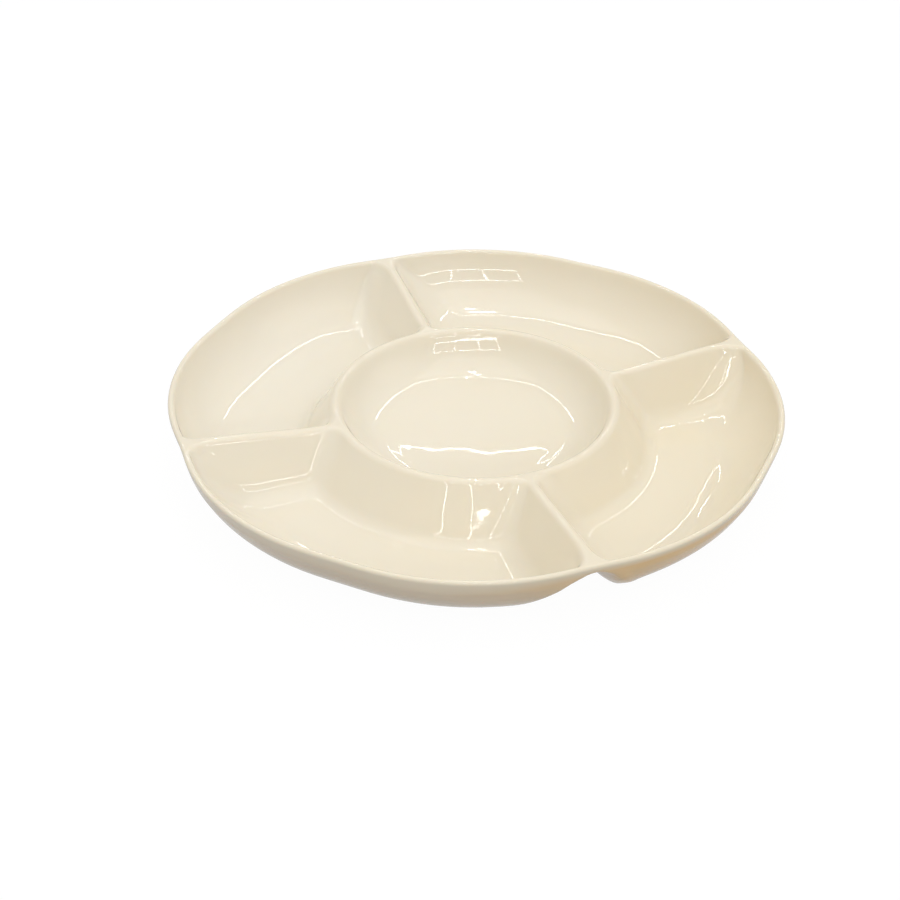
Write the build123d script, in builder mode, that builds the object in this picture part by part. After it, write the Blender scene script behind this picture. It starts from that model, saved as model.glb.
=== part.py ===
from build123d import *
import os
from math import atan, cos, radians, sin, tan

# A round serving dish moulded in one piece of glazed ceramic: a bowl in the middle, four wells
# around it, and thin folded walls between them that are hollow from below. It stands on its feet
# at z = 0, centred on the Z axis, with its four dividers along the X and Y axes.

# Driving sizes in millimetres, angles in degrees
rim_radius = 152.5  # outer edge of the lip at the crown of a lobe
rim_height = 34.5  # top of the lip above the table
rim_draft = 12.0  # lean of the outer wall from upright, under the lip
sweep_share = 1.18  # inside bend from the outer wall into the floor, as a share of a well's depth
wall = 3.2  # thickness of the moulded shell

# The rim waves in and out: two lobes over each well, a dip at its middle and at each divider
lobe_shift = 34.0  # from the axis to the centre that a lobe is struck from
lobe_swing = 19.5  # angle between the middle of a well and the crown of a lobe
dip_radius = 60.0  # bend of the rim through a dip

# Ring round the middle bowl
ring_share = 0.4564  # radius to the middle of the ring's crest, as a share of the rim's
rim_rise = 5.0  # from the ring's crest up to the rim
ring_draft = 33.0  # lean of the ring's face in a well
ring_foot_share = 0.1086  # bend at its foot and where it meets a divider, as a share of a well's width

# Dividers between the wells
crest_width = 3.6  # flat width of a crest before its edges are rounded
crest_bend_radius = 60.0  # where a crest starts to rise from the ring and levels off at the rim
side_draft = 28.0  # lean of a divider's two faces
side_foot_share = 0.181  # bend at its foot and into the outer wall, as a share of a well's width
web_depth = 4.4  # solid depth under the crests, which closes their junctions

# Middle bowl
bowl_clearance = 5.3  # from the table up to its underside
bowl_draft = 26.0  # lean of its wall
bowl_sweep_radius = 26.0  # bend from its wall into its floor

# Unglazed feet under the wells
foot_height = 0.8
foot_width_share = 0.145  # width of the band, as a share of the flat underside's width
foot_inset_share = 0.072  # from the edge of the flat underside to the foot, likewise
foot_corner_share = 0.29  # bend of the band's corners, likewise

round_share = 0.4  # rounding of a crest's edges as a share of its thinnest wall
overrun = 5.0  # cutters run past the shell by this much

# Derived sizes
well_count = 4
well_angle = 360 / well_count
floor_height = foot_height + wall
ring_radius = ring_share * rim_radius
ring_height = rim_height - rim_rise
well_width = rim_radius - ring_radius
sweep_radius = sweep_share * (rim_height - floor_height)
side_foot_radius = side_foot_share * well_width
ring_foot_radius = ring_foot_share * well_width
mouth_height = rim_height + overrun
rise_start = ring_radius + crest_width / 2 + ring_foot_radius
rise_end = rim_radius - wall - side_foot_radius - crest_width
crest_slope = (rim_height - ring_height) / (rise_end - rise_start)
crest_axis_height = ring_height - rise_start * crest_slope
reach = 2 * rim_radius
crest_round = round_share * min(wall, crest_width)


def slope(angle):
    """Sideways run of a leaning wall for each millimetre of its height."""
    return tan(radians(angle))


def thickness_along(skin, angle):
    """Width that a skin takes, measured level, through a wall leaning by an angle."""
    return skin / cos(radians(angle))


def bend_run(radius, angle):
    """Length of floor that the bend at the foot of a leaning wall takes up."""
    return radius * slope((90 - angle) / 2)


def pan(skin):
    """The whole lobed pan, as if nothing divided it: its hollow at skin 0, its outside at wall."""
    inset = thickness_along(wall - skin, rim_draft) - overrun * slope(rim_draft)
    with BuildPart() as shape:
        with BuildSketch(Plane((0, 0, mouth_height), x_dir=(1, 0, 0), z_dir=(0, 0, -1))) as outline:
            Circle(rim_radius - 2 * lobe_shift)
            for lobe_side in (-1, 1):
                first_lobe = well_angle / 2 + lobe_side * lobe_swing
                with PolarLocations(lobe_shift, well_count, start_angle=first_lobe):
                    Circle(rim_radius - lobe_shift - inset)
            fillet(outline.vertices(), dip_radius + inset)
        extrude(amount=mouth_height - floor_height + skin, taper=rim_draft)
        fillet(shape.faces().sort_by(Axis.Z)[0].edges(), sweep_radius + skin)
    return shape.part


def beyond_divider(skin, turn, side):
    """All that lies past one face of the divider at a turn about Z, where a well ends."""
    across = (-sin(radians(turn)), cos(radians(turn)), 0)
    rise = atan(crest_slope)
    along = (cos(radians(turn)) * cos(rise), sin(radians(turn)) * cos(rise), sin(rise))
    face_at_crest = crest_width / 2 - thickness_along(skin, side_draft)
    face_above = face_at_crest - rim_height * slope(side_draft)
    face_below = face_at_crest + reach * slope(side_draft)
    with BuildPart() as shape:
        with BuildSketch(Plane((0, 0, crest_axis_height), x_dir=across, z_dir=along)):
            with BuildLine():
                Polyline(
                    (side * face_above, rim_height),
                    (side * face_below, -reach),
                    (-side * reach, -reach),
                    (-side * reach, rim_height),
                    close=True,
                )
            make_face()
        extrude(amount=reach, both=True)
    return shape.part


def ring_face(skin):
    """The leaning cone inside which a well ends, at the ring round the bowl."""
    at_crest = ring_radius + crest_width / 2 - thickness_along(skin, ring_draft)
    foot_drop = ring_height + overrun
    top_rise = mouth_height + overrun - ring_height
    with BuildPart() as shape:
        with BuildSketch(Plane.XZ):
            with BuildLine():
                Polyline(
                    (0, -overrun),
                    (at_crest + foot_drop * slope(ring_draft), -overrun),
                    (at_crest - top_rise * slope(ring_draft), mouth_height + overrun),
                    (0, mouth_height + overrun),
                    close=True,
                )
            make_face()
        revolve(axis=Axis.Z)
    return shape.part


def well(skin):
    """The well between the dividers along +X and +Y: its hollow at skin 0, its outside at wall."""
    outside_of_well = [ring_face(skin), beyond_divider(skin, 0, 1), beyond_divider(skin, well_angle, -1)]
    whole_pan = pan(skin)
    with BuildPart() as shape:
        add(whole_pan)
        add(outside_of_well, mode=Mode.SUBTRACT)

        mouth = shape.faces().sort_by(Axis.Z)[-1]
        floor = shape.faces().sort_by(Axis.Z)[0]
        sides = shape.faces().filter_by(GeomType.PLANE) - [mouth, floor]
        ring_side = shape.faces().filter_by(GeomType.CONE).sort_by_distance((0, 0, floor_height))[0]
        fillet(sides.edges() - mouth.edges() - ring_side.edges(), side_foot_radius + skin)

        mouth = shape.faces().sort_by(Axis.Z)[-1]
        ring_side = shape.faces().filter_by(GeomType.CONE).sort_by_distance((0, 0, floor_height))[0]
        fillet(ring_side.edges() - mouth.edges(), ring_foot_radius + skin)
    return shape.part


def bowl(skin):
    """The middle bowl: its hollow at skin 0, its outside at wall."""
    floor = bowl_clearance + wall - skin
    at_crest = ring_radius - crest_width / 2 + thickness_along(skin, bowl_draft)
    at_floor = at_crest - (ring_height - floor) * slope(bowl_draft)
    at_mouth = at_crest + (mouth_height - ring_height) * slope(bowl_draft)
    with BuildPart() as shape:
        with BuildSketch(Plane.XZ) as profile:
            with BuildLine():
                Polyline(
                    (0, floor), (at_floor, floor), (at_mouth, mouth_height), (0, mouth_height), close=True
                )
            make_face()
            floor_corner = profile.vertices().sort_by_distance((at_floor, floor))[0]
            fillet(floor_corner, bowl_sweep_radius + skin)
        revolve(axis=Axis.Z)
    return shape.part


def under_crown(drop):
    """All that lies lower than the crests by a drop: level on ring and rim, rising between them."""
    rise_foot = (rise_start, ring_height - drop)
    rise_head = (rise_end, rim_height - drop)
    with BuildPart() as shape:
        with BuildSketch(Plane.XZ) as profile:
            with BuildLine():
                Polyline(
                    (0, -overrun),
                    (reach, -overrun),
                    (reach, rim_height - drop),
                    rise_head,
                    rise_foot,
                    (0, ring_height - drop),
                    close=True,
                )
            make_face()
            bends = [profile.vertices().sort_by_distance(point)[0] for point in (rise_foot, rise_head)]
            fillet(bends, crest_bend_radius)
        revolve(axis=Axis.Z)
    return shape.part


def webs():
    """A lobed plate just under the crests, which the hollows cut into walls with closed junctions."""
    whole_pan = pan(wall)
    crown = under_crown(0)
    plate_bottom = under_crown(web_depth)
    with BuildPart() as shape:
        add(whole_pan)
        add(crown, mode=Mode.INTERSECT)
        add(plate_bottom, mode=Mode.SUBTRACT)
    return shape.part


def is_crest(face):
    """Whether a face is part of the level or gently rising top of the ring, the dividers and the rim."""
    looks_up = face.normal_at().Z > cos(2 * atan(crest_slope))
    return looks_up and face.center().Z > ring_height - crest_round


def feet():
    """Low bands that the dish stands on, one round the flat underside of each well."""
    depth = ring_height - floor_height
    flat_inner = ring_radius + crest_width / 2 + depth * slope(ring_draft)
    flat_inner += bend_run(ring_foot_radius, ring_draft)
    flat_outer = rim_radius - thickness_along(wall, rim_draft)
    flat_outer -= (rim_height - floor_height) * slope(rim_draft) + bend_run(sweep_radius, rim_draft)
    flat_side = crest_width / 2 + (rim_height - floor_height) * slope(side_draft)
    flat_side += bend_run(side_foot_radius, side_draft)
    flat_width = flat_outer - flat_inner
    foot_inset = foot_inset_share * flat_width
    corner = flat_side + foot_inset
    with BuildPart() as shape:
        with BuildSketch() as foot:
            Circle(flat_outer - 2 * foot_inset)
            Circle(flat_inner + foot_inset, mode=Mode.SUBTRACT)
            with Locations((corner, corner)):
                Rectangle(reach, reach, align=(Align.MIN, Align.MIN), mode=Mode.INTERSECT)
            fillet(foot.vertices(), foot_corner_share * flat_width)
            offset(amount=-foot_width_share * flat_width, mode=Mode.SUBTRACT)
        extrude(amount=foot_height)
    return shape.part


# The dish: outsides of the wells and bowl levelled at the crests, emptied by their hollows
well_outside = well(wall)
well_hollow = well(0)
bowl_outside = bowl(wall)
bowl_hollow = bowl(0)
crown = under_crown(0)
crest_webs = webs()
well_feet = feet()

with BuildPart() as dish:
    with PolarLocations(0, well_count):
        add(well_outside)
    add(bowl_outside)
    add(crown, mode=Mode.INTERSECT)
    add(crest_webs)

    with PolarLocations(0, well_count):
        add(well_hollow, mode=Mode.SUBTRACT)
    add(bowl_hollow, mode=Mode.SUBTRACT)

    crests = dish.faces().filter_by(is_crest)
    crest_edges = [edge for edge in dish.edges() if sum(edge in face.edges() for face in crests) == 1]
    fillet(crest_edges, crest_round)

    with PolarLocations(0, well_count):
        add(well_feet)

dish.part.label = "divided_dish"

os.makedirs("parts", exist_ok=True)
export_step(dish.part, "parts/divided_dish.step")
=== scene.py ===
from math import cos, radians, sin, sinh, tanh

import bpy
from mathutils import Matrix, Vector


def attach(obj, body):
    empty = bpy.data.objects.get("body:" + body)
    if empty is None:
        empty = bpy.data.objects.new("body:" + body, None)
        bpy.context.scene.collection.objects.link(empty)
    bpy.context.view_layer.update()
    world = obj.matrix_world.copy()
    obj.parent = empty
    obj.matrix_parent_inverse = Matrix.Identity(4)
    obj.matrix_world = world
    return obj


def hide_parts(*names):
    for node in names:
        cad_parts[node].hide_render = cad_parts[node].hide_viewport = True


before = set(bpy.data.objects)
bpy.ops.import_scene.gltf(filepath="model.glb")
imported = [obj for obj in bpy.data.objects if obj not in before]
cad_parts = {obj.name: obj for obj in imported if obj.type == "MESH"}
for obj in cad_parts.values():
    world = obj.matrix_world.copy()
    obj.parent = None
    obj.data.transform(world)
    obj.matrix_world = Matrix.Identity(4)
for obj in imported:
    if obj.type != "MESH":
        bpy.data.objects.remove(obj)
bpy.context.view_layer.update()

MM = 0.001
DEGREE = radians(1)
WELLS = 4
QUARTER = radians(360 / WELLS)
WHITE = (1.0, 1.0, 1.0, 1.0)

# The dish, in millimetres and degrees
DISH_SIZES = {
    "Rim radius": 152.5,  # outer edge of the lip at the crown of a lobe
    "Rim height": 34.5,
    "Rim lean": 12.0,
    "Rim sweep": 36.0,  # bend from the outer wall into the floor of a well
    "Base blend": 2.5,  # bend from the outer wall's outside into the underside
    "Wall": 3.2,
    "Lobe shift": 34.0,  # from the axis to the centre that a lobe is struck from
    "Lobe swing": 19.5,  # from the middle of a well to the crown of a lobe
    "Lobe blend": 2.6,  # how softly one lobe meets the next in a dip
    "Ring radius": 69.6,
    "Ring height": 29.5,
    "Ring lean": 33.0,
    "Ring foot": 9.0,
    "Crest width": 3.6,
    "Crest round": 2.5,
    "Crest ease": 0.3,  # how softly a crest starts to rise and levels off, from 0 to 1
    "Lip round": 1.5,
    "Rise start": 80.4,
    "Rise end": 130.7,
    "Divider lean": 28.0,
    "Divider foot": 15.0,
    "Corner at floor": 1.3,  # how widely the outer wall turns into a divider, low down and at the rim
    "Corner at rim": 0.35,
    "Corner height": 26.0,  # above the floor, where a corner has become the one at the rim
    "Ring corner loss": 0.2,  # how much of its width the corner at the ring loses up to there
    "Tighter first corner": 0.55,  # the hand-worked corners aren't alike: one of each well's is tighter
    "First corner from": 20.0,  # off the middle line of a well, where that one is fully tight
    "First corner to": 6.0,  # off the middle line of a divider, where it starts to fade into the next well
    "Web depth": 4.4,
    "Arch blend": 6.0,  # under the lip, where a divider's hollow runs out
    "Floor": 4.0,
    "Bowl depth": 21.0,
    "Bowl lean": 26.0,
    "Bowl sweep": 26.0,
    "Bowl sag": 3.0,  # how far the bowl's floor dips from where its bend begins to its middle
    "Hand's drift": 0.45,  # how far a hand-finished edge strays inwards or down
}

# How far faces look the same way where they meet, as the cosine between them
OUTER_AND_DIVIDER_ALIKE = 0.1
WALLS_AND_RING_ALIKE = 0.25
CREST_AND_WALL_ALIKE = 0.3

# Near a corner of a well, the bend at the floor passes from one wall's to the other's
PULL_SOFTNESS = 0.07
PULL_POWER = 1.5
BOWL_FLOOR_SHARE = 0.6  # of the ring's radius, over which the bowl's floor sags

# The dish's skin has columns that run out from the axis and back underneath, and rows round the axis
DISH_ROWS = {
    "Columns": 104,  # in each quarter
    "Bowl rows": 32,
    "Well rows": 84,
    "Lip rows": 7,
    "Underside rows": 58,
    "Bowl underside rows": 26,
    "Halvings": 18,  # of the span that a height is sought in
}
EDGE_STEPS = 3  # of nearing the rim's edge along a column
COLUMN_CROWDING = 3.6  # towards the dividers
ROW_CROWDING = 1.9  # towards both ends of a stretch
RIM_ARC = 118.0  # about an eighth of the way round the rim, in millimetres
RING_SQUEEZE = 1.157  # that way, divided by one and this, is an eighth of the way round the ring
LOWEST, HIGHEST = -4.0, 36.0  # no part of the skin is lower or higher, in millimetres
OUTSIDE_ONSET = 9.0  # the outside's colour is full after a ninth of the underside's rows
SEAM = 0.01  # quarters are joined where their points are this close, in millimetres

# The noise by which a hand-finished edge strays
STRAY_IN_SCALE = 17.0
STRAY_DOWN_SCALE = 22.0
STRAY_DOWN_SEED = 3.0

# The foot bands, in millimetres
FOOT_SIZES = {
    "Inner radius": 95.85,
    "Outer radius": 109.1,
    "Off the divider": 30.0,
    "Corner": 4.5,
    "Band width": 3.0,
    "Band height": 1.5,
    "Band edge": 0.6,
}
BAND_POINTS = 160
CORNER_POINTS = 8
EDGE_POINTS = 4

# The glaze
IVORY = (0.825, 0.78, 0.675, 1.0)
HONEY = (0.80, 0.722, 0.558, 1.0)  # in warmer patches of the glaze, and as painted warm light towards the near right
CREST_SHADE = (0.785, 0.722, 0.585, 1.0)  # painted shade on the crests, darker to offset the light they catch
BUFF = (0.765, 0.64, 0.47, 1.0)  # outside and underneath
WALL_SHADE = (0.81, 0.55, 0.23, 1.0)  # painted warm shade outside, low on the wall at the near right
CREST_SHADE_DEPTH = 3.0  # how far down from a crest the painted shade reaches, in millimetres
CREST_SHADE_SHARE = 0.6  # how much of the painted shade shows on a crest
WARM_LIGHT_SPAN = 0.37  # metres of x less y, from ivory at the far left to honey at the near right, in painted warm light
WALL_SHADE_START, WALL_SHADE_SPAN = 0.68, 0.3  # where the painted warm shade on the outer wall starts and grows, as shares of that span
WALL_START, WALL_SPAN = 0.11, 0.025  # from the axis to the outer wall's bend, and its width, in metres
WALL_SHADE_RISE = 2.0  # how much sooner below the lip the outside's colour sets in where the painted warm shade is
SHELL_SHARE = 0.75  # of the outside's colour, where the glaze is least warm
PATCH_START, PATCH_GAIN = 0.35, 1.6  # the glaze has warmer patches where its drift is above the start
PATCH_SHARE = 0.3  # how much of the honey tone goes by the patches, and not by the painted warm light of the place
GLAZE_DRIFT = 14.0  # scale of the noise that the tone and the gloss drift by
RIPPLE, FINE_RIPPLE, FINE_SHARE = 42.0, 130.0, 0.07
RIPPLE_TILT, RIPPLE_DEPTH = 0.36, 0.8  # how strongly it tilts the surface, and its depth in millimetres
GLOSS = 0.02  # roughness of the glaze where it is smoothest, and as much again where it is roughest

# The bare clay
CLAY_DARK, CLAY_LIGHT = (0.62, 0.52, 0.40, 1.0), (0.72, 0.63, 0.50, 1.0)
CLAY_GRAIN = 900.0
GRAIN_TILT, GRAIN_DEPTH = 0.3, 0.1

# The studio: how white the floor is to the lens and in the glaze, and the light from all round
FLOOR_GREY = (0.35, 0.35, 0.35, 1.0)
FLOOR_GLOW = 1.08
FLOOR_SEEN, FLOOR_MIRRORED = 0.9, 0.62
FLOOR_REACH = 3.0
FLOOR_DROP = 0.2 * MM
SKY_LOW, SKY_HIGH = (0.60, 0.555, 0.49, 1.0), (0.79, 0.785, 0.775, 1.0)

# The bulbs of a ceiling lamp: bearing and rise in degrees, and width in metres
BULBS = ((24, 77, 0.03), (19, 70, 0.025), (23, 62, 0.018))
BULB_DISTANCE = 1.3
BULB_GLOW = 250  # watts for each square metre of a bulb
BULB_COLOUR = (0.93, 0.97, 1.0)
SIDE_COLOUR = (1.0, 0.97, 0.93)

# The camera, in the dish's frame, in metres and degrees, and its lens
CAMERA_PLACE = (-0.2412, -0.6271, 0.4572)
CAMERA_TURN = -20.0
CAMERA_TILT = 34.37
CAMERA_ROLL = -0.56
LENS_PIXELS = 1599.3
FRAME_PIXELS = 900
SENSOR = 36.0


class Number:
    """A number in a node tree, written in sums as a plain number is."""

    def __init__(self, tree, socket):
        self.tree, self.socket = tree, socket

    def work(self, operation, *values):
        return self.tree.number(operation, *values)

    def __add__(self, other):
        return self.work("ADD", self, other)

    def __sub__(self, other):
        return self.work("SUBTRACT", self, other)

    def __mul__(self, other):
        return self.work("MULTIPLY", self, other)

    def __truediv__(self, other):
        return self.work("DIVIDE", self, other)

    def __pow__(self, other):
        return self.work("POWER", self, other)

    def __radd__(self, other):
        return self.work("ADD", other, self)

    def __rsub__(self, other):
        return self.work("SUBTRACT", other, self)

    def __rmul__(self, other):
        return self.work("MULTIPLY", other, self)

    def __rtruediv__(self, other):
        return self.work("DIVIDE", other, self)

    def __neg__(self):
        return self.work("MULTIPLY", self, -1.0)

    def __gt__(self, other):
        return self.work("GREATER_THAN", self, other)


class Tree:
    """A node tree that is written as calls: each call adds one node and gives back its outputs."""

    def __init__(self, nodes_tree):
        self.tree = nodes_tree

    def add(self, kind, settings=None, values=None, out=0):
        """A node of a kind, with its settings set first, then the values or links of its sockets."""
        node = self.tree.nodes.new(kind)
        for name, value in (settings or {}).items():
            setattr(node, name, value)
        for name, value in (values or {}).items():
            self.feed(node.inputs[name], value)
        return node if out is None else Number(self, node.outputs[out])

    def feed(self, socket, value):
        if isinstance(value, Number):
            self.tree.links.new(value.socket, socket)
        else:
            socket.default_value = value

    def number(self, operation, *values):
        node = self.tree.nodes.new("ShaderNodeMath")
        node.operation = operation
        for socket, value in zip(node.inputs, values):
            self.feed(socket, value)
        return Number(self, node.outputs[0])

    def vector(self, x, y, z):
        return self.add("ShaderNodeCombineXYZ", values={"X": x, "Y": y, "Z": z})

    def parts(self, vector):
        """The x, y and z of a vector."""
        node = self.add("ShaderNodeSeparateXYZ", values={"Vector": vector}, out=None)
        return [Number(self, node.outputs[axis]) for axis in "XYZ"]

    def mixed(self, kind, settings, sockets, part, first, second):
        """A mixing node, whose factor and two sides are sockets that are known by their order."""
        node = self.add(kind, settings, out=None)
        for socket, value in zip(sockets, (part, first, second)):
            self.feed(node.inputs[socket], value)
        return node


def low(a, b):
    return (a if isinstance(a, Number) else b).work("MINIMUM", a, b)


def high(a, b):
    return (a if isinstance(a, Number) else b).work("MAXIMUM", a, b)


def root(a):
    return a.work("SQRT", a)


def share(a):
    """A number held between 0 and 1."""
    return low(high(a, 0.0), 1.0)


def sine(a):
    return a.work("SINE", a)


def cosine(a):
    return a.work("COSINE", a)


def tangent(a):
    return a.work("TANGENT", a)


def mix(a, b, part):
    return a + (b - a) * part


def total(numbers):
    first, *others = numbers
    for other in others:
        first = first + other
    return first


def rounded(a, b, radius, alike=0.0):
    """Positive where both a and b are, with their corner rounded. Alike says how far they face alike."""
    short_b = high(radius - b, 0.0)
    short_a = high(high(radius - a, 0.0), short_b * alike)
    past = high(short_b - short_a * alike, 0.0)
    return high(radius, low(a, b)) - root(short_a * short_a + past * past / (1.0 - alike * alike))


def soft_high(a, b, blend):
    """The higher of a and b, with the kink between them blended."""
    gap = a - b
    near = high(blend - gap.work("ABSOLUTE", gap), 0.0) / blend
    return high(a, b) + near * near * blend * 0.25


def geometry_tree(name, sizes, counts):
    """An empty Geometry Nodes tree with its sizes as named inputs."""
    nodes_tree = bpy.data.node_groups.new(name, "GeometryNodeTree")
    face = nodes_tree.interface
    face.new_socket(name="Geometry", in_out="OUTPUT", socket_type="NodeSocketGeometry")
    for label in sizes:
        face.new_socket(name=label, in_out="INPUT", socket_type="NodeSocketFloat")
    for label in counts:
        face.new_socket(name=label, in_out="INPUT", socket_type="NodeSocketInt")
    face.new_socket(name="Finish", in_out="INPUT", socket_type="NodeSocketMaterial")
    tree = Tree(nodes_tree)
    group_in = nodes_tree.nodes.new("NodeGroupInput")
    size = {label: Number(tree, group_in.outputs[label]) for label in [*sizes, *counts, "Finish"]}
    return tree, size


def close_tree(tree, shape, finish):
    """Realize Instances and Set Material, as the last nodes of a tree."""
    real = tree.add("GeometryNodeRealizeInstances", values={"Geometry": shape})
    done = tree.add("GeometryNodeSetMaterial", values={"Geometry": real, "Material": finish})
    group_out = tree.tree.nodes.new("NodeGroupOutput")
    tree.feed(group_out.inputs["Geometry"], done)


def piece_from_tree(name, tree, values):
    """A plain mesh object made from a tree, with the inputs given by their names."""
    carrier = bpy.data.objects.new(name + "_tree", bpy.data.meshes.new(name + "_tree"))
    bpy.context.scene.collection.objects.link(carrier)
    modifier = carrier.modifiers.new("Form", "NODES")
    modifier.node_group = tree.tree
    for item in tree.tree.interface.items_tree:
        if item.in_out == "INPUT":
            modifier[item.identifier] = values[item.name]
    evaluated = carrier.evaluated_get(bpy.context.evaluated_depsgraph_get())
    mesh = bpy.data.meshes.new_from_object(evaluated)
    carrier.modifiers.remove(modifier)
    bpy.data.objects.remove(carrier)
    mesh.name = name
    piece = bpy.data.objects.new(name, mesh)
    bpy.context.scene.collection.objects.link(piece)
    return piece


def turned_copies(tree, shape):
    """One copy of a quarter for each well, turned about the dish's axis."""
    points = tree.add("GeometryNodeMeshLine", values={"Count": WELLS, "Offset": (0.0, 0.0, 0.0)})
    step = tree.add("GeometryNodeInputIndex") * QUARTER
    turn = tree.add("FunctionNodeEulerToRotation", values={"Euler": tree.vector(0.0, 0.0, step)})
    return tree.add(
        "GeometryNodeInstanceOnPoints", values={"Points": points, "Instance": shape, "Rotation": turn}
    )


class DishRule:
    """The rule that the dish's surfaces follow, as sums on the tree's sizes, in millimetres."""

    def __init__(self, size):
        self.size = size
        self.lean = {side: size[side + " lean"] * DEGREE for side in ("Rim", "Divider", "Ring", "Bowl")}
        self.slope = {side: tangent(lean) for side, lean in self.lean.items()}
        self.level = {side: cosine(lean) for side, lean in self.lean.items()}
        self.crest_rise = (size["Rim height"] - size["Ring height"]) / (size["Rise end"] - size["Rise start"])
        swing = (180 / WELLS - size["Lobe swing"]) * DEGREE
        self.lobe_near, self.lobe_off = size["Lobe shift"] * cosine(swing), size["Lobe shift"] * sine(swing)
        self.lobe_radius = size["Rim radius"] - size["Lobe shift"]
        self.round_centre = size["Lip round"] / self.level["Rim"] + size["Lip round"] * self.slope["Rim"]

    def rim_gap(self, x, y):
        """Level distance inwards from the outer edge of the lobed rim."""
        narrow, wide = low(x, y), high(x, y)

        def lobe(across, along):
            return self.lobe_radius - root(across * across + along * along)

        first = lobe(wide - self.lobe_near, narrow - self.lobe_off)
        mirrored = lobe(wide - self.lobe_near, narrow + self.lobe_off)
        next_one = lobe(wide - self.lobe_off, narrow - self.lobe_near)
        blend = self.size["Lobe blend"]
        return soft_high(soft_high(first, mirrored, blend), next_one, blend)

    def crest(self, radius):
        """Height of the crests: level on the ring and the rim, rising between them."""
        size = self.size
        part = share((radius - size["Rise start"]) / (size["Rise end"] - size["Rise start"]))
        eased = part * part * (3.0 - 2.0 * part)
        return mix(size["Ring height"], size["Rim height"], mix(part, eased, size["Crest ease"]))

    def well_room(self, x, y, radius, gap, z):
        """Room in a well: the distance to its walls and floor, positive in its hollow."""
        size, slope, level = self.size, self.slope, self.level
        narrow, wide = low(x, y), high(x, y)
        outer = (gap - (size["Rim height"] - z) * slope["Rim"]) * level["Rim"] - size["Wall"]
        divider_crest = size["Ring height"] + (wide - size["Rise start"]) * self.crest_rise
        half_crest = size["Crest width"] * 0.5
        side = (narrow - half_crest - (divider_crest - z) * slope["Divider"]) * level["Divider"]
        ring_edge = size["Ring radius"] + half_crest
        ring = (radius - ring_edge - (size["Ring height"] - z) * slope["Ring"]) * level["Ring"]

        # Each wall's distance, counted in its own bend at the floor, and the corners between the walls
        above = z - size["Floor"]
        up = share(above / size["Corner height"])
        bends = [size["Rim sweep"], size["Divider foot"], size["Ring foot"]]
        distances = [wall / bend for wall, bend in zip((outer, side, ring), bends)]
        on_first_side = share((x - y) / size["First corner from"]) * share(narrow / size["First corner to"])
        floor_corner = size["Corner at floor"] - size["Tighter first corner"] * on_first_side
        rim_corner = mix(floor_corner, size["Corner at rim"], up)
        ring_corner = 1.0 - size["Ring corner loss"] * up
        walls = rounded(distances[0], distances[1], rim_corner, OUTER_AND_DIVIDER_ALIKE)
        walls = rounded(walls, distances[2], ring_corner, WALLS_AND_RING_ALIKE)

        def pull(distance):
            near = high(distance, 0.0)
            return 1.0 / (near * near + PULL_SOFTNESS) ** PULL_POWER

        pulls = [pull(distance) for distance in distances]
        whole_pull = total(pulls)

        def pulled(values):
            return total([value * pull for value, pull in zip(values, pulls)]) / whole_pull

        bend = pulled(bends)
        alike = pulled([sine(self.lean[side]) for side in ("Rim", "Divider", "Ring")])
        return bend * rounded(walls, above / bend, 1.0, alike)

    def bowl_room(self, radius, z):
        """Room in the middle bowl."""
        size = self.size
        drop = (size["Ring height"] - z) * self.slope["Bowl"]
        side = (size["Ring radius"] - size["Crest width"] * 0.5 - drop - radius) * self.level["Bowl"]
        out = low(radius / (size["Ring radius"] * BOWL_FLOOR_SHARE), 1.0)
        sag = size["Bowl sag"] * (out * out - 0.5)
        floor = z - size["Ring height"] + size["Bowl depth"] - sag
        return rounded(side, floor, size["Bowl sweep"], sine(self.lean["Bowl"]))

    def room(self, x, y, radius, gap, z):
        return high(self.well_room(x, y, radius, gap, z), self.bowl_room(radius, z))


def height(tree, halvings, lowest, highest, is_under):
    """The height at which a rule turns, found by halving the span that it lies in."""
    start = tree.tree.nodes.new("GeometryNodeRepeatInput")
    end = tree.tree.nodes.new("GeometryNodeRepeatOutput")
    start.pair_with_output(end)
    end.repeat_items.clear()
    for name in ("Lowest", "Highest"):
        end.repeat_items.new("FLOAT", name)
    tree.feed(start.inputs["Iterations"], halvings)
    tree.feed(start.inputs["Lowest"], lowest)
    tree.feed(start.inputs["Highest"], highest)
    bottom, top = Number(tree, start.outputs["Lowest"]), Number(tree, start.outputs["Highest"])
    middle = (bottom + top) * 0.5
    under = is_under(middle)
    tree.feed(end.inputs["Lowest"], mix(bottom, middle, under))
    tree.feed(end.inputs["Highest"], mix(middle, top, under))
    return (Number(tree, end.outputs["Lowest"]) + Number(tree, end.outputs["Highest"])) * 0.5


def evened(part):
    """Rows crowd at both ends of a stretch."""
    pull = (part * 2.0 - 1.0) * ROW_CROWDING
    return pull.work("TANH", pull) * (0.5 / tanh(ROW_CROWDING)) + 0.5


def marked(tree, shape, name, value):
    """A shape with a number kept on each of its points, for its finish to read."""
    return tree.add(
        "GeometryNodeStoreNamedAttribute",
        {"data_type": "FLOAT", "domain": "POINT"},
        {"Geometry": shape, "Name": name, "Value": value},
    )


def column_turns(column, size):
    """The angles at which a column meets the rim and the ring.

    Columns crowd towards the dividers, and the far half of a quarter mirrors the near half.
    """
    fold = column / size["Columns"] * 2.0
    far_half = fold > 1.0
    reach = mix(fold, 2.0 - fold, far_half) * COLUMN_CROWDING
    spread = reach.work("SINH", reach) * (1.0 / sinh(COLUMN_CROWDING))
    rim_turn = spread * (QUARTER / 2)
    ring_turn = spread * RIM_ARC / (1.0 + RING_SQUEEZE * spread) / size["Ring radius"]
    return [mix(turn, QUARTER - turn, far_half) for turn in (rim_turn, ring_turn)]


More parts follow.
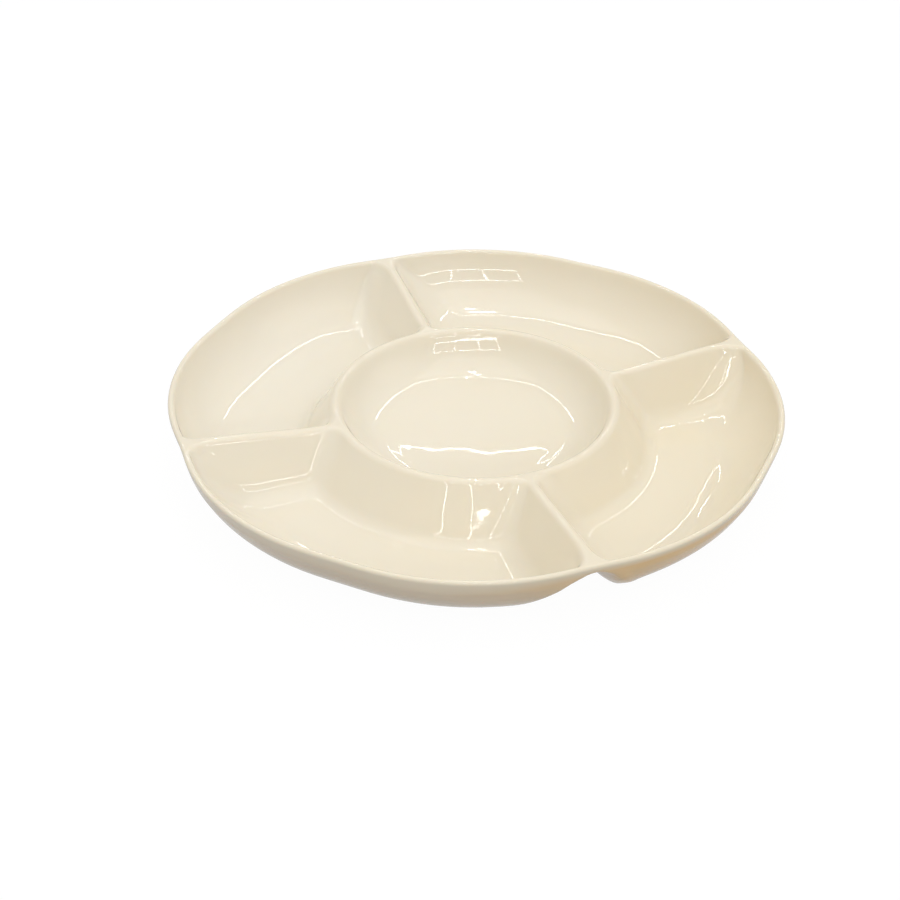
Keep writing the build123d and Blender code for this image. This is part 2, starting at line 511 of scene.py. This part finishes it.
def strayed(tree, size, shape):
    """A hand-finished dish strays a little from its rule, inwards and down."""
    place = tree.add("GeometryNodeInputPosition")
    stray_in = tree.add(
        "ShaderNodeTexNoise", values={"Vector": place, "Scale": STRAY_IN_SCALE, "Detail": 1.0}
    )
    stray_down = tree.add(
        "ShaderNodeTexNoise",
        {"noise_dimensions": "4D"},
        {"Vector": place, "W": STRAY_DOWN_SEED, "Scale": STRAY_DOWN_SCALE, "Detail": 1.0},
    )
    x, y, z = tree.parts(place)
    kept = 1.0 - share(stray_in) * size["Hand's drift"] / size["Rim radius"]
    kept_up = 1.0 - share(stray_down) * size["Hand's drift"] / size["Rim height"]
    return tree.add(
        "GeometryNodeSetPosition",
        values={"Geometry": shape, "Position": tree.vector(x * kept, y * kept, z * kept_up)},
    )


def dish_tree():
    """The whole dish as one skin: a sheet for each quarter, run from the bowl's middle over the ring, the
    well, the lip and back underneath, and laid on the rule."""
    tree, size = geometry_tree("Dish", DISH_SIZES, DISH_ROWS)
    rule = DishRule(size)

    # A flat sheet, and how far along each stretch a point of it is
    stretches = ["Bowl rows", "Well rows", "Lip rows", "Underside rows", "Bowl underside rows"]
    row_total = total([size[label] for label in stretches])
    sheet = tree.add(
        "GeometryNodeMeshGrid",
        values={"Vertices X": size["Columns"] + 1.0, "Vertices Y": row_total + 1.0},
    )
    index = tree.add("GeometryNodeInputIndex")
    column = (index + 0.5) / (row_total + 1.0)
    column = column.work("FLOOR", column)
    row = index - column * (row_total + 1.0)
    row = row.work("ROUND", row)
    along, before = {}, 0.0
    for label in stretches:
        along[label] = share((row - before) / size[label])
        before = size[label] + before
    rim_turn, ring_turn = column_turns(column, size)
    rim_x, rim_y = cosine(rim_turn), sine(rim_turn)
    ring_x, ring_y = cosine(ring_turn) * size["Ring radius"], sine(ring_turn) * size["Ring radius"]

    # The outer edge of the rim along a column, and how slanted the column crosses it, over a millimetre
    rim_out = size["Rim radius"] - size["Lip round"]
    for _ in range(EDGE_STEPS):
        rim_out = rim_out + rule.rim_gap(rim_x * rim_out, rim_y * rim_out)
    slant = 1.0 / rule.rim_gap(rim_x * (rim_out - 1.0), rim_y * (rim_out - 1.0))

    # Where the lip's rounding begins and ends, level from the rim's edge
    lip_turn = along["Lip rows"] * (radians(90) + rule.lean["Rim"])
    lip_in = rule.round_centre - size["Lip round"] * sine(lip_turn)
    lip_z = size["Rim height"] - size["Lip round"] + size["Lip round"] * cosine(lip_turn)
    edge_radius = rim_out - lip_in * slant

    # Where each point lies, seen from above
    out_way = evened(along["Well rows"]) * (1.0 - evened(along["Underside rows"]))
    x = mix(ring_x, rim_x * edge_radius, out_way)
    y = mix(ring_y, rim_y * edge_radius, out_way)
    bowl_left, back_way = 1.0 - along["Bowl rows"], along["Bowl underside rows"]
    bowl_way = (1.0 - bowl_left * bowl_left) * (1.0 - back_way * back_way)
    x, y = x * bowl_way, y * bowl_way
    radius = root(x * x + y * y)
    gap = rule.rim_gap(x, y)
    crest = rule.crest(radius)

    # Heights of the upper side and of the underside
    def in_clay_from_above(z):
        room = rule.room(x, y, radius, gap, z)
        return rounded(crest - z, -room, size["Crest round"], CREST_AND_WALL_ALIKE) > 0.0

    def under_the_clay(z):
        outside = -(rule.room(x, y, radius, gap, z) + size["Wall"])
        under_web = crest - size["Web depth"] - z
        return rounded(outside, under_web, size["Arch blend"]) > 0.0

    upper = height(tree, size["Halvings"], 0.0, HIGHEST, in_clay_from_above)
    lower = height(tree, size["Halvings"], LOWEST, HIGHEST, under_the_clay)
    outer_face = size["Rim height"] - gap / rule.slope["Rim"]
    lower = soft_high(lower, outer_face, size["Base blend"])

    underneath = along["Underside rows"] > 0.0
    lip = (along["Lip rows"] > 0.0) * (1.0 - underneath)
    z = mix(mix(upper, low(lip_z, upper), lip), lower, underneath)
    placed = tree.add(
        "GeometryNodeSetPosition",
        values={"Geometry": sheet, "Position": tree.vector(x * MM, y * MM, z * MM)},
    )
    placed = marked(tree, placed, "below_crest", crest - z)
    placed = marked(tree, placed, "outside", share(along["Underside rows"] * OUTSIDE_ONSET))
    joined = tree.add("GeometryNodeRealizeInstances", values={"Geometry": turned_copies(tree, placed)})
    merged = tree.add("GeometryNodeMergeByDistance", values={"Geometry": joined, "Distance": SEAM * MM})
    outwards = tree.add("GeometryNodeFlipFaces", values={"Mesh": strayed(tree, size, merged)})
    smooth = tree.add("GeometryNodeSetShadeSmooth", values={"Geometry": outwards})
    close_tree(tree, smooth, size["Finish"])
    return tree


def foot_tree():
    """The bands that the dish stands on: one rounded strip run round the flat underside of each well."""
    tree, size = geometry_tree("Feet", FOOT_SIZES, {})
    middle = (size["Inner radius"] + size["Outer radius"]) * 0.5
    half_width = (size["Outer radius"] - size["Inner radius"]) * 0.5

    def sweep_at(radius):
        """Half the angle that a band spans at a radius."""
        part = size["Off the divider"] / radius
        return QUARTER / 2 - part.work("ARCSINE", part)

    def soft_frame(width, length, corner, points):
        """A rectangle with rounded corners."""
        corners = tree.add(
            "GeometryNodeCurvePrimitiveQuadrilateral", values={"Width": width, "Height": length}
        )
        return tree.add(
            "GeometryNodeFilletCurve", {"mode": "POLY"}, {"Curve": corners, "Count": points, "Radius": corner}
        )

    # A straight frame, bent round the axis
    half_length = middle * sweep_at(middle)
    outline = soft_frame(half_width * 2.0, half_length * 2.0, size["Corner"], CORNER_POINTS)
    even = tree.add("GeometryNodeResampleCurve", values={"Curve": outline, "Count": BAND_POINTS})
    across, along, _ = tree.parts(tree.add("GeometryNodeInputPosition"))
    radius = across + middle
    turn = QUARTER / 2 + along / half_length * sweep_at(radius)
    x, y, z = radius * cosine(turn), radius * sine(turn), size["Band height"] * 0.5
    bent = tree.add(
        "GeometryNodeSetPosition",
        values={"Geometry": even, "Position": tree.vector(x * MM, y * MM, z * MM)},
    )
    wide, tall, edge = (size[label] * MM for label in ("Band width", "Band height", "Band edge"))
    section = soft_frame(wide, tall, edge, EDGE_POINTS)
    band = tree.add("GeometryNodeCurveToMesh", values={"Curve": bent, "Profile Curve": section})
    close_tree(tree, turned_copies(tree, band), size["Finish"])
    return tree


def new_finish(name):
    """A material and its empty node tree."""
    material = bpy.data.materials.new(name)
    material.use_nodes = True
    material.node_tree.nodes.clear()
    return material, Tree(material.node_tree)


def close_finish(tree, values):
    """A Principled shader with its values, as the last nodes of a material."""
    shader = tree.add("ShaderNodeBsdfPrincipled", values=values)
    tree.add("ShaderNodeOutputMaterial", values={"Surface": shader}, out=None)


def speckle(tree, place, scale, detail=1.0):
    """Even noise between 0 and 1 on the dish's own coordinates."""
    return tree.add(
        "ShaderNodeTexNoise", {"normalize": True}, {"Vector": place, "Scale": scale, "Detail": detail}
    )


def bump(tree, strength, depth, relief):
    """A normal tilted by a relief of a depth in millimetres."""
    values = {"Strength": strength, "Distance": depth * MM, "Height": relief}
    return tree.add("ShaderNodeBump", values=values, out="Normal")


def colour_mix(tree, first, second, part):
    node = tree.mixed("ShaderNodeMix", {"data_type": "RGBA"}, (0, 6, 7), part, first, second)
    return Number(tree, node.outputs[2])


def shader_mix(tree, first, second, part):
    node = tree.mixed("ShaderNodeMixShader", {}, (0, 1, 2), part, first, second)
    return Number(tree, node.outputs[0])


def ivory_glaze():
    """Glossy ivory glaze: warmer towards the near right in painted warm light, with painted shade on the
    crests, buff on the outside, and painted warm shade low on the outer wall at the near right.
    """
    material, tree = new_finish("ivory_glaze")
    place = tree.add("ShaderNodeTexCoord", out="Object")
    below_crest = tree.add("ShaderNodeAttribute", {"attribute_name": "below_crest"}, out="Fac")
    outside = tree.add("ShaderNodeAttribute", {"attribute_name": "outside"}, out="Fac")
    on_crest = 1.0 - share(below_crest / CREST_SHADE_DEPTH)
    drift = speckle(tree, place, GLAZE_DRIFT, detail=2.0)
    warm = share((drift - PATCH_START) * PATCH_GAIN)
    x, y, _ = tree.parts(place)
    # Painted warm light: the glaze is tinted warmer towards the near right
    warm_light = share((x - y) / WARM_LIGHT_SPAN + 0.5)
    body = colour_mix(tree, IVORY, HONEY, warm * PATCH_SHARE + warm_light * (1 - PATCH_SHARE))
    # Painted shade on the crests, which catch more light than the walls
    inside = colour_mix(tree, body, CREST_SHADE, on_crest * CREST_SHADE_SHARE)

    # Painted warm shade on the outer wall at the near right, from close under the lip
    on_wall = share((root(x * x + y * y) - WALL_START) / WALL_SPAN)
    wall_shade = share((warm_light - WALL_SHADE_START) / WALL_SHADE_SPAN) * on_wall
    shell = colour_mix(tree, BUFF, WALL_SHADE, wall_shade)
    shell_share = share(outside * (1.0 + WALL_SHADE_RISE * wall_shade)) * (SHELL_SHARE + warm * (1 - SHELL_SHARE))

    ripple = speckle(tree, place, RIPPLE) + speckle(tree, place, FINE_RIPPLE) * FINE_SHARE
    values = {
        "Base Color": colour_mix(tree, inside, shell, shell_share),
        "Roughness": GLOSS + drift * GLOSS,
        "IOR": 1.52,
        "Subsurface Weight": 0.15,
        "Subsurface Radius": (1.0, 0.7, 0.4),
        "Subsurface Scale": 3.0 * MM,
        "Normal": bump(tree, RIPPLE_TILT, RIPPLE_DEPTH, ripple),
    }
    close_finish(tree, values)
    return material


def bare_clay():
    """Unglazed fired clay, dry and slightly rough, on the foot bands."""
    material, tree = new_finish("bare_clay")
    grain = speckle(tree, tree.add("ShaderNodeTexCoord", out="Object"), CLAY_GRAIN, detail=3.0)
    colour = colour_mix(tree, CLAY_DARK, CLAY_LIGHT, grain)
    relief = bump(tree, GRAIN_TILT, GRAIN_DEPTH, grain)
    close_finish(tree, {"Base Color": colour, "Roughness": 0.85, "Normal": relief})
    return material


def light_path(tree):
    """Whether light comes straight to the lens, or by way of a mirroring surface."""
    ray = tree.add("ShaderNodeLightPath", out=None)
    straight, through, mirrored = (
        Number(tree, ray.outputs[name]) for name in ("Is Camera Ray", "Is Transmission Ray", "Is Glossy Ray")
    )
    return high(straight, through), mirrored


def white_surround():
    """A white floor that stays white to the lens and keeps a soft shadow."""
    material, tree = new_finish("white_surround")
    seen, mirrored = light_path(tree)
    paper = tree.add("ShaderNodeBsdfDiffuse", values={"Color": FLOOR_GREY})
    glow = tree.add("ShaderNodeEmission", values={"Color": WHITE, "Strength": FLOOR_GLOW})
    upper = shader_mix(tree, paper, glow, high(seen * FLOOR_SEEN, mirrored * FLOOR_MIRRORED))

    # Seen from under the table, the floor is clear
    back = tree.add("ShaderNodeNewGeometry", out="Backfacing")
    clear = tree.add("ShaderNodeBsdfTransparent")
    surface = shader_mix(tree, upper, clear, back)
    tree.add("ShaderNodeOutputMaterial", values={"Surface": surface}, out=None)
    return material


def studio_floor():
    corners = ((-1, -1), (1, -1), (1, 1), (-1, 1))
    mesh = bpy.data.meshes.new("studio_floor")
    mesh.from_pydata([(x * FLOOR_REACH, y * FLOOR_REACH, 0) for x, y in corners], [], [(0, 1, 2, 3)])
    floor = bpy.data.objects.new("studio_floor", mesh)
    floor.location.z = -FLOOR_DROP
    bpy.context.scene.collection.objects.link(floor)
    mesh.materials.append(white_surround())


def studio_world():
    """Even light from all round, dimmer and warmer from low down, and plain white to the lens."""
    world = bpy.data.worlds.new("studio")
    bpy.context.scene.world = world
    world.use_nodes = True
    world.node_tree.nodes.clear()
    tree = Tree(world.node_tree)
    seen, _ = light_path(tree)
    _, _, risen = tree.parts(tree.add("ShaderNodeTexCoord", out="Generated"))
    sky = colour_mix(tree, SKY_LOW, SKY_HIGH, share(risen))
    colour = colour_mix(tree, sky, WHITE, seen)
    light = tree.add("ShaderNodeBackground", values={"Color": colour, "Strength": 1.0})
    tree.add("ShaderNodeOutputWorld", values={"Surface": light}, out=None)


def soft_lamp(name, facing, across, upright, power, colour=(1.0, 1.0, 1.0)):
    """A flat soft lamp, across by upright metres, whose own frame is given."""
    lamp = bpy.data.lights.new(name, "AREA")
    lamp.shape = "RECTANGLE"
    lamp.size, lamp.size_y = across, upright
    lamp.energy = power
    lamp.color = colour
    holder = bpy.data.objects.new(name, lamp)
    bpy.context.scene.collection.objects.link(holder)
    holder.matrix_world = facing


def facing_dish(bearing, rise, distance):
    """A frame at a bearing clockwise from the far side and a rise above the table, facing the dish."""
    turn, up = radians(bearing), radians(rise)
    back = Vector((sin(turn) * cos(up), cos(turn) * cos(up), sin(up)))
    right = Vector((0, 0, 1)).cross(back).normalized()
    place = Matrix((right, back.cross(right), back)).transposed().to_4x4()
    place.translation = back * distance
    return place


def window(name, place, across, upright, rail, bar, glow, rails=("top",), panes=1):
    """The bright frame of a window: its rails, and the bars at its sides and between its panes.

    Its glow is in watts for each square metre of them.
    """

    def lit(part, x, y, width, length):
        power = glow * width * length
        soft_lamp(f"{name}_{part}", place @ Matrix.Translation((x, y, 0)), width, length, power)

    for part in rails:
        lit(part, 0, upright / 2 if part == "top" else -upright / 2, across, rail)
    for number in range(panes + 1):
        lit(f"bar_{number}", across * (number / panes - 0.5), 0, bar, upright)


def windows_and_lamps():
    place = facing_dish(20, 49, 1.3)
    window("far_window", place, across=0.78, upright=0.68, rail=0.02, bar=0.02, glow=44.0)
    place = facing_dish(20.6, 25.1, 1.3)
    window("low_window", place, across=0.155, upright=0.2, rail=0.006, bar=0.006, glow=52.0)
    place, rails = facing_dish(192, 38, 1.3), ("top", "bottom")
    window(
        "near_window", place, across=1.2, upright=0.48, rail=0.024, bar=0.011, glow=44.0, rails=rails, panes=3
    )
    for number, (bearing, rise, across) in enumerate(BULBS):
        place = facing_dish(bearing, rise, BULB_DISTANCE)
        soft_lamp(f"bulb_{number}", place, across, across, BULB_GLOW * across**2, BULB_COLOUR)
    soft_lamp("overhead", facing_dish(200, 86, 1.6), across=1.4, upright=1.4, power=4.7)
    soft_lamp("side_light", facing_dish(110, 35, 1.5), across=0.9, upright=0.9, power=0.9, colour=SIDE_COLOUR)


def set_camera():
    turn = Matrix.Rotation(radians(CAMERA_TURN), 3, "Z")
    tilt, roll = radians(CAMERA_TILT), radians(CAMERA_ROLL)
    level_right, level_up = Vector((1, 0, 0)), Vector((0, sin(tilt), cos(tilt)))
    right = turn @ (level_right * cos(roll) - level_up * sin(roll))
    up = turn @ (level_right * sin(roll) + level_up * cos(roll))
    back = right.cross(up)
    lens = bpy.data.cameras.new("Camera")
    lens.lens = LENS_PIXELS / FRAME_PIXELS * SENSOR
    lens.sensor_width = SENSOR
    lens.clip_start = 0.01
    camera = bpy.data.objects.new("Camera", lens)
    bpy.context.scene.collection.objects.link(camera)
    facing = Matrix((right, up, back)).transposed().to_4x4()
    facing.translation = Vector(CAMERA_PLACE)
    camera.matrix_world = facing
    bpy.context.scene.camera = camera


# Pieces
dish_values = {**DISH_SIZES, **DISH_ROWS, "Finish": ivory_glaze()}
dish = piece_from_tree("divided_dish_skin", dish_tree(), dish_values)
feet = piece_from_tree("foot_bands", foot_tree(), {**FOOT_SIZES, "Finish": bare_clay()})
for piece in (dish, feet):
    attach(piece, "root")
    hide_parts("divided_dish")

# Studio
studio_floor()
studio_world()
windows_and_lamps()
set_camera()
bpy.context.scene.view_settings.view_transform = "Standard"
